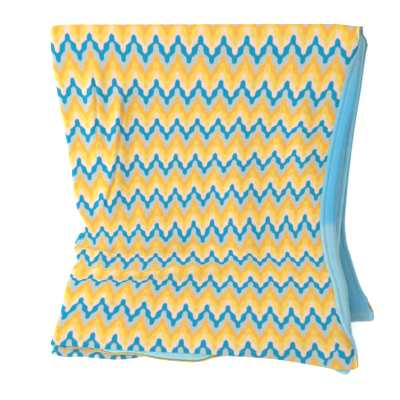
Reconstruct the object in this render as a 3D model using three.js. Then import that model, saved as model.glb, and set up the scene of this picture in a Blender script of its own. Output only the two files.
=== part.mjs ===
import * as THREE from 'three';

// A two-ply security blanket, folded in half about its left edge and again about its top edge, lying flat.
// Sizes are millimetres. +Y runs to the folded top edge, +X to the open right edge, +Z up from the surface.

// The blanket when it is opened out
const clothWidth = 711;
const clothLength = 838;
const halfWidth = clothWidth / 2;
const halfLength = clothLength / 2;

// The two plies, sewn together only along their edge
const printThickness = 1.0;
const plushThickness = 2.5;
const plyGap = 0.3;
const stitchInset = 6;

// Clear height between the folded layers
const gapPlushToPlush = 2.2;
const gapPrintToPrint = 1.2;

// Heights of the middle of each layer from the centre of the folded stack
const printFace = plyGap / 2 + printThickness;
const plushFace = plyGap / 2 + plushThickness;
const innerHeight = gapPrintToPrint / 2 + printFace;
const outerHeight = innerHeight + 2 * plushFace + gapPlushToPlush;
const stackCentre = outerHeight + printFace;
const innerPitch = 2 * innerHeight;
const outerPitch = outerHeight - innerHeight;

// The left fold joins an outer and an inner layer. The top fold joins the front half and the back half.
const sideFoldRadius = outerPitch / 2;
const sideFoldHeight = (outerHeight + innerHeight) / 2;
const sideFoldReach = (Math.PI / 2) * sideFoldRadius;
const topFoldReach = (Math.PI / 2) * outerHeight;

// The right margin of the top layer is turned over onto the print, plush side up
const lipBendLength = 6.4;

// Places in the tables are steps of 1.2 mm, x to the right and y down from the layout's upper left corner
const step = 1.2;
const layoutCentre = { x: 212.2, y: 196.5 };

// The outline by height: the folded left edge, the crease of the turned margin and the right edge of each layer
const outline = [
  { y: 33, left: 50, crease: 360.5, lower: 361, underLower: 361, base: 362 },
  { y: 42, left: 50, crease: 361, lower: 364, underLower: 362.5, base: 367.5 },
  { y: 50, left: 50.5, crease: 361, lower: 364, underLower: 362, base: 367 },
  { y: 92, left: 57, crease: 357.4, lower: 359, underLower: 356, base: 361 },
  { y: 130, left: 64.5, crease: 347.6, lower: 353, underLower: 350.5, base: 355 },
  { y: 170, left: 71.2, crease: 339.8, lower: 347.5, underLower: 345, base: 350 },
  { y: 207, left: 76.6, crease: 335.6, lower: 343, underLower: 341, base: 346.6 },
  { y: 224, left: 84, crease: 335.8, lower: 341.5, underLower: 339, base: 346.3 },
  { y: 236, left: 78, crease: 336.7, lower: 340.5, underLower: 338, base: 347.2 },
  { y: 247, left: 73.6, crease: 338, lower: 339.8, underLower: 337.5, base: 349 },
  { y: 260, left: 75.6, crease: 340, lower: 339.5, underLower: 337, base: 352 },
  { y: 275, left: 70.5, crease: 344, lower: 340, underLower: 337, base: 356.5 },
  { y: 290, left: 64.5, crease: 347.6, lower: 342, underLower: 337.5, base: 362 },
  { y: 310, left: 60.5, crease: 349.4, lower: 344.5, underLower: 338, base: 372 },
  { y: 330, left: 54.6, crease: 352, lower: 346.5, underLower: 338, base: 375 },
  { y: 345, left: 51, crease: 355, lower: 347, underLower: 338, base: 375 },
  { y: 375, left: 52.5, crease: 359, lower: 347, underLower: 338, base: 375 },
];

// The print: where its rows start at the top fold, the last full row, and that row's distance from the hem at the
// left fold, the middle and the right edge
const firstRow = 0.25;
const lastRow = 10;
const lastRowFromHem = { left: 6, middle: 3.1, right: 21.6 };

// Where each printed row of the cloth lies, from the top fold down, at the left edge, the middle and the right
const frontRows = [
  { row: 0.57, left: 34.5, middle: 33, right: 32, lowerMiddle: 33, lowerRight: 32 },
  { row: 1, left: 48.5, middle: 50, right: 51.5, lowerMiddle: 50.5, lowerRight: 52 },
  { row: 2, left: 91.7, middle: 92.5, right: 94.8, lowerMiddle: 93.5, lowerRight: 95 },
  { row: 3, left: 131.4, middle: 129, right: 128.7, lowerMiddle: 130.5, lowerRight: 129 },
  { row: 4, left: 169.5, middle: 164.1, right: 158, lowerMiddle: 166.5, lowerRight: 158.5 },
  { row: 5, left: 206, middle: 196.9, right: 191, lowerMiddle: 200, lowerRight: 191 },
  { row: 6, left: 236, middle: 231.3, right: 225, lowerMiddle: 235, lowerRight: 224 },
  { row: 7, left: 257.5, middle: 257, right: 258.5, lowerMiddle: 262, lowerRight: 256 },
  { row: 8, left: 280, middle: 283, right: 285, lowerMiddle: 290, lowerRight: 281.5 },
  { row: 9, left: 308.5, middle: 316, right: 317.5, lowerMiddle: 324, lowerRight: 314 },
  { row: 10, left: 342, middle: 351, right: 353, lowerMiddle: 358, lowerRight: 348 },
  { row: 11, left: 384, middle: 388, right: 390, lowerMiddle: 392, lowerRight: 382 },
];
const backRows = [
  { row: 0.57, left: 34.5, middle: 33, right: 32, baseMiddle: 33, baseRight: 32 },
  { row: 3, left: 131.4, middle: 127, right: 119, baseMiddle: 123, baseRight: 107 },
  { row: 5, left: 206, middle: 196, right: 180, baseMiddle: 188, baseRight: 167 },
  { row: 7, left: 257.5, middle: 253, right: 244, baseMiddle: 248, baseRight: 228 },
  { row: 11, left: 378, middle: 380, right: 372, baseMiddle: 371, baseRight: 344 },
];

// The open bottom edge of each layer by its share of the width, from the left fold to the right edge
const hems = [
  { share: 0, top: 345, lower: 346, underLower: 353, base: 353 },
  { share: 0.1, top: 347.6, lower: 350, underLower: 357, base: 352 },
  { share: 0.2, top: 349.6, lower: 354, underLower: 360.6, base: 351 },
  { share: 0.3, top: 351.4, lower: 356.5, underLower: 358.5, base: 349.5 },
  { share: 0.38, top: 352.6, lower: 361, underLower: 355, base: 348.5 },
  { share: 0.47, top: 354, lower: 363.4, underLower: 353.5, base: 347 },
  { share: 0.56, top: 355.8, lower: 357, underLower: 352.5, base: 344.5 },
  { share: 0.7, top: 359, lower: 355, underLower: 351.5, base: 339 },
  { share: 0.85, top: 365.8, lower: 357, underLower: 349, base: 328 },
  { share: 0.94, top: 370.8, lower: 358, underLower: 346.5, base: 322.8 },
  { share: 1, top: 369.5, lower: 358, underLower: 345, base: 322.5 },
];

// The turned margin by printed row: its length in millimetres past the start of the bend, and its turn in degrees
const lips = [
  { row: 0, length: 7.4, turn: 0 },
  { row: 0.57, length: 7.4, turn: 90 },
  { row: 1, length: 8.4, turn: 150 },
  { row: 2, length: 21, turn: 180 },
  { row: 3, length: 19.8, turn: 180 },
  { row: 5, length: 19.6, turn: 180 },
  { row: 6, length: 21, turn: 180 },
  { row: 8, length: 19, turn: 180 },
  { row: 8.8, length: 16.5, turn: 180 },
  { row: 9.4, length: 10.7, turn: 180 },
  { row: 9.8, length: 7.6, turn: 150 },
  { row: 10.1, length: 7.2, turn: 100 },
  { row: 10.5, length: 7, turn: 60 },
];

// Soft ridges of the stack, each from one end to the other, with a half width in steps and a height in millimetres
const ridges = [
  { x0: 96, y0: 62, x1: 97, y1: 196, width: 9, height: 4.5 },
  { x0: 124, y0: 74, x1: 112, y1: 214, width: 9, height: 5 },
  { x0: 92, y0: 212, x1: 176, y1: 214, width: 9, height: 5 },
  { x0: 90, y0: 243, x1: 196, y1: 246, width: 9, height: 8.5 },
  { x0: 82, y0: 272, x1: 230, y1: 270, width: 8, height: 7 },
  { x0: 76, y0: 300, x1: 170, y1: 292, width: 9, height: 4.5 },
  { x0: 232, y0: 120, x1: 250, y1: 300, width: 16, height: 3 },
  { x0: 300, y0: 84, x1: 306, y1: 190, width: 12, height: 3.5 },
];

// Where the ridges lie close together: across the cloth from the left fold, and along it from the top fold
const creasedWidth = 95;
const creasedFrom = 205;
const creasedTo = 330;

// How much of a ridge each layer takes, from the top layer down to the one on the surface
const ridgeShare = { top: 1, lower: 0.7, underLower: 0.35, base: 0 };

// How far past the edge of what lies under it a layer takes to come down, in steps
const droopRun = 28;

// The sewn edge, and the share of its thickness that each ply keeps at a distance in from it, in millimetres
const edgeWidth = 15;
const edgeProfile = [
  { inset: 0, print: 0.6, plush: 0.35 },
  { inset: stitchInset, print: 0.8, plush: 0.6 },
  { inset: edgeWidth, print: 1, plush: 1 },
];

function clamp(value, low, high) {
  return Math.min(high, Math.max(low, value));
}

function mix(a, b, share) {
  return a + (b - a) * share;
}

function smooth(from, to, value) {
  const t = clamp((value - from) / (to - from), 0, 1);
  return t * t * (3 - 2 * t);
}

// A smooth curve through one column of a table, without overshoot
function along(table, key, column, at) {
  const last = table.length - 1;
  if (at <= table[0][key]) return table[0][column];
  if (at >= table[last][key]) return table[last][column];
  let i = 0;
  while (table[i + 1][key] < at) i += 1;
  const slope = (k) => (table[k + 1][column] - table[k][column]) / (table[k + 1][key] - table[k][key]);
  const tangent = (k) => {
    if (k === 0) return slope(0);
    if (k === last) return slope(last - 1);
    const before = slope(k - 1);
    const after = slope(k);
    return before * after <= 0 ? 0 : (2 * before * after) / (before + after);
  };
  const span = table[i + 1][key] - table[i][key];
  const t = (at - table[i][key]) / span;
  const t2 = t * t;
  const t3 = t2 * t;
  return (
    (2 * t3 - 3 * t2 + 1) * table[i][column] +
    (t3 - 2 * t2 + t) * span * tangent(i) +
    (3 * t2 - 2 * t3) * table[i + 1][column] +
    (t3 - t2) * span * tangent(i + 1)
  );
}

// A curve through three values at shares 0, a half and 1
function across(left, middle, right, share) {
  return (
    left * (1 - 2 * share) * (1 - share) +
    middle * 4 * share * (1 - share) +
    right * share * (2 * share - 1)
  );
}

// The printed row that a place on the cloth falls in. The print runs slightly askew to the hem.
function rowAt(share, distance) {
  const fromHem = across(lastRowFromHem.left, lastRowFromHem.middle, lastRowFromHem.right, share);
  return firstRow + ((lastRow - firstRow) * distance) / (halfLength - fromHem);
}

function hemBlend(distance) {
  return smooth(0.8 * halfLength, halfLength, distance);
}

// Height down the layout of a place on one layer, in steps
function levelOf(layer, share, distance) {
  const front = layer === 'top' || layer === 'lower';
  const row = layer === 'top' ? rowAt(share, distance) : rowAt(0, distance);
  const edgeRow = layer === 'top' ? rowAt(share, halfLength) : rowAt(0, halfLength);
  const table = front ? frontRows : backRows;
  const names = {
    top: ['middle', 'right'],
    lower: ['lowerMiddle', 'lowerRight'],
    underLower: ['middle', 'right'],
    base: ['baseMiddle', 'baseRight'],
  }[layer];
  const at = (r) => across(
    along(table, 'row', 'left', r),
    along(table, 'row', names[0], r),
    along(table, 'row', names[1], r),
    share,
  );
  const hem = along(hems, 'share', layer, share);
  return at(row) + (hem - at(edgeRow)) * hemBlend(distance);
}

// How far one layer covers a place, from 1 inside its edge to 0 past the droop
function coverOf(layer, x, y) {
  const left = along(outline, 'y', 'left', y);
  const right = along(outline, 'y', layer, y);
  const share = clamp((x - left) / (right - left), 0, 1);
  const past = Math.max(x - right, y - along(hems, 'share', layer, share));
  return 1 - smooth(0, droopRun, past);
}

function ridgeHeight(x, y) {
  let height = 0;
  for (const ridge of ridges) {
    const dx = ridge.x1 - ridge.x0;
    const dy = ridge.y1 - ridge.y0;
    const length = Math.hypot(dx, dy);
    const t = ((x - ridge.x0) * dx + (y - ridge.y0) * dy) / (length * length);
    const off = ((x - ridge.x0) * dy - (y - ridge.y0) * dx) / length;
    const ends = smooth(-0.12, 0.3, t) * (1 - smooth(0.6, 1.12, t));
    height += ridge.height * ends * Math.exp(-((off / ridge.width) ** 2));
  }
  return height;
}

const layerOrder = ['base', 'underLower', 'lower', 'top'];
const dropBelow = { base: outerPitch, underLower: innerPitch, lower: outerPitch };

// Rise or fall of one layer over the lie of a flat, even stack
function reliefOf(layer, x, y) {
  let relief = ridgeHeight(x, y) * ridgeShare[layer];
  for (const under of layerOrder.slice(0, layerOrder.indexOf(layer))) {
    relief -= dropBelow[under] * (1 - coverOf(under, x, y));
  }
  return relief;
}

// A place on the middle of the cloth. u runs from the left fold, + on the outer layers and - on the inner ones,
// and s from the top fold, + on the front half and - on the back half.
function middleOfCloth(u, s) {
  const turn = clamp((Math.PI / 2) * (1 - s / topFoldReach), 0, Math.PI);
  const distance = Math.max(Math.abs(s), topFoldReach);
  const front = 1 - turn / Math.PI;
  const outer = 0.5 + 0.5 * Math.sin(clamp(u / sideFoldRadius, -Math.PI / 2, Math.PI / 2));
  const past = Math.max(Math.abs(u) - sideFoldReach, 0);
  const share = past / (halfWidth - sideFoldReach);

  const mixLayers = (valueOf) => mix(
    mix(valueOf('underLower'), valueOf('base'), outer),
    mix(valueOf('lower'), valueOf('top'), outer),
    front,
  );
  const level = mixLayers((layer) => levelOf(layer, share, distance));
  const leftEdge = along(outline, 'y', 'left', level) * step + sideFoldRadius + printFace;

  let x = leftEdge;
  let height = outerHeight;
  if (Math.abs(u) < sideFoldReach) {
    x -= sideFoldRadius * Math.cos(u / sideFoldRadius);
    height = sideFoldHeight + sideFoldRadius * Math.sin(u / sideFoldRadius);
  } else if (u < 0) {
    const rightEdge = mix(
      along(outline, 'y', 'underLower', level),
      along(outline, 'y', 'lower', level),
      front,
    ) * step;
    x = mix(leftEdge, rightEdge, share);
    height = innerHeight;
  } else {
    const lip = lipAt(s);
    const bendStart = halfWidth - lip.length;
    const crease = along(outline, 'y', 'crease', level) * step - lip.bulge;
    const creaseStart = mix(along(outline, 'y', 'base', level) * step - lip.length, crease, lip.share);
    x = mix(leftEdge, creaseStart, (past - Math.max(u - bendStart, 0)) / (bendStart - sideFoldReach));
    const beyond = Math.max(u - bendStart, 0);
    const onBend = Math.min(beyond, lipBendLength);
    const radius = lipBendLength / Math.max(lip.turn, 1e-6);
    const angle = onBend / radius;
    const straight = beyond - onBend;
    x += radius * Math.sin(angle) + straight * Math.cos(angle);
    height += radius * (1 - Math.cos(angle)) + straight * Math.sin(angle);
  }

  const relief = mixLayers((layer) => reliefOf(layer, x / step, level));
  return new THREE.Vector3(
    x - layoutCentre.x * step,
    layoutCentre.y * step - level * step + height * Math.sin(turn),
    stackCentre + height * Math.cos(turn) + relief,
  );
}

// The turned margin at one distance from the top fold. On the back half it lies flat.
function lipAt(s) {
  const row = rowAt(1, s);
  const turn = THREE.MathUtils.degToRad(along(lips, 'row', 'turn', row));
  const length = along(lips, 'row', 'length', row);
  const radius = lipBendLength / Math.max(turn, 1e-6);
  const reach = radius * Math.sin(Math.min(turn, Math.PI / 2));
  return {
    turn,
    length,
    bulge: reach + plushFace * Math.sin(Math.min(turn, Math.PI / 2)),
    share: smooth(0, Math.PI / 3, turn),
  };
}

function facing(u, s) {
  const small = 0.02;
  const du = middleOfCloth(u + small, s).sub(middleOfCloth(u - small, s));
  const ds = middleOfCloth(u, s + small).sub(middleOfCloth(u, s - small));
  return ds.cross(du).normalize();
}

function spread(from, to, count) {
  return Array.from({ length: count }, (_, i) => from + ((to - from) * i) / count);
}

// Stations across the cloth, from the right edge of the inner layers round the left fold to the turned margin
function stationsAcross(s) {
  const bendStart = halfWidth - lipAt(s).length;
  const bendEnd = bendStart + lipBendLength;
  return [
    -halfWidth,
    -halfWidth + stitchInset,
    ...spread(-halfWidth + edgeWidth, -creasedWidth, 5),
    ...spread(-creasedWidth, -sideFoldReach, 4),
    ...spread(-sideFoldReach, sideFoldReach, 6),
    ...spread(sideFoldReach, creasedWidth, 7),
    ...spread(creasedWidth, bendStart, 8),
    ...spread(bendStart, bendEnd, 5),
    ...spread(bendEnd, halfWidth, 2),
    halfWidth,
  ];
}

// Stations along the cloth, from the bottom edge of the back half round the top fold to the front bottom edge
const stationsAlong = [
  -halfLength,
  -halfLength + stitchInset,
  ...spread(-halfLength + edgeWidth, -topFoldReach, 7),
  ...spread(-topFoldReach, topFoldReach, 6),
  ...spread(topFoldReach, creasedFrom, 8),
  ...spread(creasedFrom, creasedTo, 11),
  ...spread(creasedTo, halfLength - edgeWidth, 5),
  halfLength - edgeWidth,
  halfLength - stitchInset,
  halfLength,
];

// One ply as a closed sheet between two faces, measured from the middle of the cloth towards the print
function plyGeometry(nearFace, farFace, profile) {
  const grid = stationsAlong.map((s) => stationsAcross(s).map((u) => {
    const inset = Math.min(halfWidth - Math.abs(u), halfLength - Math.abs(s));
    const thickness = (farFace - nearFace) * along(edgeProfile, 'inset', profile, inset);
    const middle = middleOfCloth(u, s);
    const out = facing(u, s);
    return [
      middle.clone().addScaledVector(out, nearFace),
      middle.clone().addScaledVector(out, nearFace + thickness),
    ];
  }));
  const rows = grid.length;
  const columns = grid[0].length;
  const positions = [];
  const faces = [];
  const index = (row, column, side) => (row * columns + column) * 2 + side;
  grid.flat(2).forEach((point) => positions.push(point.x, point.y, point.z));
  const quad = (a, b, c, d) => faces.push(a, b, c, a, c, d);
  for (let row = 0; row < rows - 1; row += 1) {
    for (let column = 0; column < columns - 1; column += 1) {
      for (const side of [0, 1]) {
        const a = index(row, column, side);
        const b = index(row, column + 1, side);
        const c = index(row + 1, column + 1, side);
        const d = index(row + 1, column, side);
        if (side === 0) quad(a, b, c, d);
        else quad(a, d, c, b);
      }
    }
  }
  for (let row = 0; row < rows - 1; row += 1) {
    const end = columns - 1;
    quad(index(row, 0, 0), index(row + 1, 0, 0), index(row + 1, 0, 1), index(row, 0, 1));
    quad(index(row, end, 0), index(row, end, 1), index(row + 1, end, 1), index(row + 1, end, 0));
  }
  for (let column = 0; column < columns - 1; column += 1) {
    const end = rows - 1;
    quad(index(0, column, 0), index(0, column, 1), index(0, column + 1, 1), index(0, column + 1, 0));
    quad(index(end, column, 0), index(end, column + 1, 0), index(end, column + 1, 1), index(end, column, 1));
  }
  const geometry = new THREE.BufferGeometry();
  geometry.setAttribute('position', new THREE.Float32BufferAttribute(positions, 3));
  geometry.setIndex(farFace > nearFace ? faces : faces.reverse());
  geometry.computeVertexNormals();
  return geometry;
}

function panel(name, nearFace, farFace, profile, colour) {
  const material = new THREE.MeshStandardMaterial({ color: colour, roughness: 0.9, metalness: 0 });
  const mesh = new THREE.Mesh(plyGeometry(nearFace, farFace, profile), material);
  mesh.name = name;
  return mesh;
}

const blanket = new THREE.Group();
blanket.add(panel('print_panel', plyGap / 2, printFace, 'print', 0xf2c766));
blanket.add(panel('plush_backing', -plyGap / 2, -plushFace, 'plush', 0x77bbd8));

export default blanket;
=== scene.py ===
"""Looks of a two-ply security blanket, folded in quarters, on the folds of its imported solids."""

import math
from collections import namedtuple

import bpy
import numpy as np
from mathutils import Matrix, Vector


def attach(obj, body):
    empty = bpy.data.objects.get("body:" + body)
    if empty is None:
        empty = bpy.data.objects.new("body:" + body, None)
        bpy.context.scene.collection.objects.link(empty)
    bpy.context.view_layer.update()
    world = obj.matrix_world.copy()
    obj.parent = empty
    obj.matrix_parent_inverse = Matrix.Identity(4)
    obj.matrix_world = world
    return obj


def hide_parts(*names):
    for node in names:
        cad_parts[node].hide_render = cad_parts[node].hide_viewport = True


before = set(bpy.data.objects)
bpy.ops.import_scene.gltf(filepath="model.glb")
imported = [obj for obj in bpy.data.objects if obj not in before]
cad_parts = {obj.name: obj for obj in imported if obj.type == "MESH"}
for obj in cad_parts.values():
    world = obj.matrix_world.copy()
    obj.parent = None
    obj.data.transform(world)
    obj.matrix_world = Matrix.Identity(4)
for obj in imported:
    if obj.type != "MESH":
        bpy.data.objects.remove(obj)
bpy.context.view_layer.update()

bl_info = {
    "name": "Folded security blanket",
    "version": (1, 0, 0),
    "blender": (4, 5, 0),
    "location": "View3D > Sidebar > Blanket",
    "description": "Builds the printed cotton, the plush backing and the topstitching of a folded blanket",
    "category": "Object",
}

# The folding is worked out in millimetres, as the solids are, and the meshes are made in metres
MM = 0.001

# Places in the tables are steps of 1.2 mm, x to the right and y down from the layout's upper left corner
STEP = 1.2
LAYOUT_X = 212.2
LAYOUT_Y = 196.5


def columns(names, *rows):
    """A table's columns by name, from its rows."""
    values = np.array(rows, dtype=float)
    return {name: values[:, i] for i, name in enumerate(names.split())}


# The outline by height: the folded left edge, the crease of the turned margin, the right edge of each layer
OUTLINE = columns(
    "y left crease lower under_lower base",
    (33, 50, 360.5, 361, 361, 364.5),
    (37, 50, 362, 363.6, 362.4, 367.4),
    (42, 50, 363, 366, 363.5, 369.6),
    (50, 50.5, 362.6, 365, 363, 368),
    (92, 56.6, 357.4, 359.6, 356, 362),
    (130, 64.1, 347.8, 353.4, 350.5, 355.8),
    (170, 70.8, 340, 348, 345, 350.8),
    (207, 76.2, 335.8, 343.4, 341, 347.3),
    (224, 84, 335.8, 341.5, 339, 346.3),
    (236, 78, 336.7, 340.5, 338, 347.2),
    (247, 73.4, 338, 339.8, 337.5, 349),
    (255, 75.4, 339.2, 339.6, 337.2, 351.8),
    (260.5, 77, 340.1, 339.5, 337, 353.2),
    (266, 73.2, 341.3, 339.6, 337, 355),
    (275, 69.8, 344, 340, 337, 357.8),
    (290, 64.5, 347.6, 342, 337.5, 363.2),
    (300, 62.6, 348.4, 343, 337.8, 369.6),
    (310, 60.5, 349.4, 344.5, 338, 374.4),
    (330, 54.3, 352.2, 346.5, 338, 377),
    (345, 50, 356.6, 347, 338, 377),
    (362, 50.2, 360, 349, 338, 377),
    (378, 50.4, 360.6, 354, 338, 377),
)

# Where each printed row lies, from the top fold down: at the left edge, the middle and the right
FRONT_ROWS = columns(
    "row left middle right lower_middle lower_right",
    (0.57, 33.4, 33.2, 32.3, 33, 32.4),
    (0.7, 37.3, 39.2, 39.7, 38.6, 38.4),
    (1.3, 59.8, 63.6, 62.8, 63.4, 65.4),
    (1.7, 78, 80.6, 82, 80.6, 83),
    (2.3, 103.8, 105, 108, 105, 106),
    (3, 131.1, 128.8, 129.2, 130.5, 129),
    (4, 169.5, 163.3, 156.2, 166.5, 158.5),
    (5, 206, 195.4, 189.8, 200, 191),
    (5.7, 227.5, 219.4, 212.4, 225, 214.5),
    (6.3, 242, 240.4, 236.4, 243.6, 234),
    (6.7, 251.2, 251.4, 250.6, 254, 247),
    (7.3, 264.8, 264.4, 268, 270.2, 264),
    (7.7, 272.8, 276, 277, 281.2, 273.6),
    (8.3, 286.4, 292.4, 293.6, 299.6, 290.6),
    (8.7, 297.4, 304.8, 308, 313.4, 303.8),
    (9.3, 316.8, 326.6, 329.4, 334.2, 324.2),
    (9.7, 330, 339.4, 342.2, 347.8, 337.8),
    (10, 342, 351, 353, 358, 348),
    (11, 384, 388, 390, 392, 382),
)
BACK_ROWS = columns(
    "row left middle right base_middle base_right",
    (0.57, 33.4, 33, 31.6, 33, 31.6),
    (3, 131.4, 127, 119, 123, 107),
    (5, 206, 196, 180, 188, 167),
    (7, 257.5, 253, 244, 248, 228),
    (11, 378, 380, 372, 371, 344),
)

# The open bottom edge of each layer by its share of the width
HEMS = columns(
    "share top lower under_lower base",
    (0, 345, 346.4, 355.6, 354.6),
    (0.03, 345.8, 349, 358, 354.4),
    (0.06, 346.5, 351, 357.8, 352.6),
    (0.1, 347.6, 349.6, 357.6, 352),
    (0.13, 348.3, 352.6, 358.8, 351.7),
    (0.17, 349, 354, 359.8, 351.4),
    (0.2, 349.6, 356.4, 360.6, 351),
    (0.245, 350.5, 355.6, 360.4, 350.3),
    (0.3, 351.4, 357.2, 358.2, 349.5),
    (0.34, 352, 359.8, 356, 349),
    (0.38, 352.6, 361.6, 355, 348.5),
    (0.43, 353.2, 362.8, 354, 347.6),
    (0.48, 354, 363.6, 353.4, 346.8),
    (0.52, 355, 361, 353, 345.7),
    (0.56, 355.8, 357.6, 352.5, 344.5),
    (0.7, 359, 355, 351.5, 339),
    (0.85, 366.4, 358, 349, 328),
    (0.9, 369.4, 363, 347.6, 325),
    (0.94, 371, 371, 346.5, 322.8),
    (0.975, 370.8, 376.4, 345.6, 322.6),
    (1, 370, 375, 345, 322.5),
)

# The turned margin by printed row: its length in millimetres past the start of the bend, its turn in degrees
LIPS = columns(
    "row length turn",
    (0, 7.4, 0),
    (0.35, 7.4, 30),
    (0.57, 7.4, 96),
    (1, 9.4, 158),
    (1.35, 16.6, 176),
    (2, 21, 180),
    (3, 19.8, 180),
    (5, 19.6, 180),
    (6, 21, 180),
    (8, 19, 180),
    (8.8, 16.5, 180),
    (9.4, 10.7, 180),
    (9.8, 7.6, 150),
    (10.1, 7.2, 100),
    (10.5, 7, 60),
)

# Soft ridges of the stack, with a half width in steps and a height in millimetres
RIDGES = columns(
    "x0 y0 x1 y1 width height",
    (96, 62, 97, 196, 9, 4.5),
    (124, 74, 112, 214, 9, 5),
    (92, 212, 176, 214, 9, 5),
    (90, 243, 196, 246, 9, 8.5),
    (82, 272, 230, 270, 8, 7),
    (76, 300, 170, 292, 9, 4.5),
    (232, 120, 250, 300, 16, 3),
    (300, 84, 306, 190, 12, 3.5),
    (277, 139, 284, 149, 5, 2.2),
    (220, 166, 224, 184, 5, 1.8),
    (213, 118, 216, 132, 4.5, 1.8),
    (322, 102, 330, 114, 5, 1.6),
    (285, 266, 290, 280, 5, 1.8),
    (225, 320, 230, 334, 4.5, 1.3),
)

# How much of a ridge each layer takes, and how far past what lies under it a layer comes down, in steps
RIDGE_SHARE = {"top": 1, "lower": 0.7, "under_lower": 0.35, "base": 0}
DROOP_RUN = 28

# The print's columns by row: the place of a valley near the middle, and the space between valleys on its left
# and on its right, in steps
PRINT_COLUMNS = columns(
    "row start left right",
    (0, 189.3, 22.3, 23.8),
    (0.55, 189.2, 22.2, 23.35),
    (0.85, 189.1, 22.05, 22.95),
    (1, 189.1, 22, 22.9),
    (2, 187.6, 20.7, 21.7),
    (3, 186.8, 19.8, 20.5),
    (4, 185.1, 19.2, 19.6),
    (5, 184.4, 18.6, 18.9),
    (6, 184.3, 18.3, 18.5),
    (7, 183.3, 18.5, 19),
    (7.35, 183, 18.75, 19.3),
    (7.65, 180.6, 19.5, 19.9),
    (7.9, 180, 19.9, 20.2),
    (8.3, 177.2, 20.4, 20.6),
    (9, 174.4, 21.1, 21.3),
    (10, 169.4, 22.3, 22.4),
    (11, 168.2, 22.4, 22.5),
)

# How far the print runs ahead of its even rows where the cloth bends over the top fold
PRINT_SHIFT = columns(
    "row shift",
    (-2, 0),
    (0.25, 0.16),
    (0.4, 0.12),
    (0.59, 0.078),
    (0.75, 0.075),
    (0.9, 0.065),
    (1.08, 0.025),
    (1.25, 0),
)

# The print: its first row at the top fold, its last full row, and that row's distance from the hem
FIRST_ROW = 0.25
LAST_ROW = 10
LAST_ROW_FROM_HEM = (6, 3.1, 21.6)
BACK_ROW_SPAN = 10.28

# How far the print lies askew, in its own columns and rows: at the back half's hem, at the bottom left corner,
# at the inner front layer's hem and at each end of the top fold
BACK_COLUMN_SHIFT = 0.52
CORNER_COLUMN_SHIFT = 0.12
CORNER_ROW_SHIFT = 0.055
INNER_HEM_ROW_SHIFT = 0.34
FOLD_ROW_SHIFT = 0.06

# The cloth's length in the bend of the turned margin
LIP_BEND = 6.4

# The top fold stands out by some millimetres between its ends, given in steps, and falls off at the right end
TOP_FULLNESS = 2.6
FULL_LEFT_END = (46, 66)
FULL_RIGHT_END = (332, 358)
FALL_SHARE = 0.1
FALL_RUN = (346, 364)

# The top layer is pressed down at the left part of its hem: by how many millimetres, over what length of
# cloth in millimetres, and where this ends, in steps
HEM_PRESS = 2
HEM_PRESS_RUN = 45
HEM_PRESS_END = (188, 210)

# Heights of the folded layers
PRINT_THICKNESS = 1.0
PLUSH_THICKNESS = 2.5
PLY_GAP = 0.3
PRINT_FACE = PLY_GAP / 2 + PRINT_THICKNESS
PLUSH_FACE = PLY_GAP / 2 + PLUSH_THICKNESS
INNER_HEIGHT = 1.2 / 2 + PRINT_FACE
OUTER_HEIGHT = INNER_HEIGHT + 2 * PLUSH_FACE + 2.2
STACK_CENTRE = OUTER_HEIGHT + PRINT_FACE
SIDE_RADIUS = (OUTER_HEIGHT - INNER_HEIGHT) / 2
SIDE_REACH = math.pi / 2 * SIDE_RADIUS
TOP_REACH = math.pi / 2 * OUTER_HEIGHT
HALF_WIDTH = 711 / 2
HALF_LENGTH = 838 / 2

# The sewn edge: how much of its thickness each ply keeps, by distance in from the edge in millimetres
EDGE = columns(
    "inset print plush",
    (0, 0.3, 0.2),
    (0.8, 0.72, 0.52),
    (2.6, 1.0, 0.8),
    (4.6, 0.9, 0.74),
    (6, 0.45, 0.34),
    (7.4, 0.88, 0.74),
    (10.5, 1.0, 0.94),
    (15, 1.0, 1.0),
)
CORNER_RADIUS = 7

# The printed ply's edge rolls over at the inner front hem and beside the back half's corner. In millimetres
# of cloth: where each roll starts and ends, the width of the roll and the depth of its middle. Then its turn.
HEM_ROLL_START = (-4, -12)
HEM_ROLL_END = (-318, -296)
CORNER_ROLL_START = (-408, -400)
CORNER_ROLL_END = (-393, -385)
ROLL_INSET = 2.9
ROLL_PIVOT = 1.3
ROLL_TURN = math.radians(185)

# How far the plush is drawn in under the roll, and the width of cloth that this is spread over
ROLL_TUCK = 2.6
ROLL_TUCK_REACH = 8

# How far round a place the plush looks for the lowest lie of a crease
CREASE_SPAN = 1.4

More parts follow.
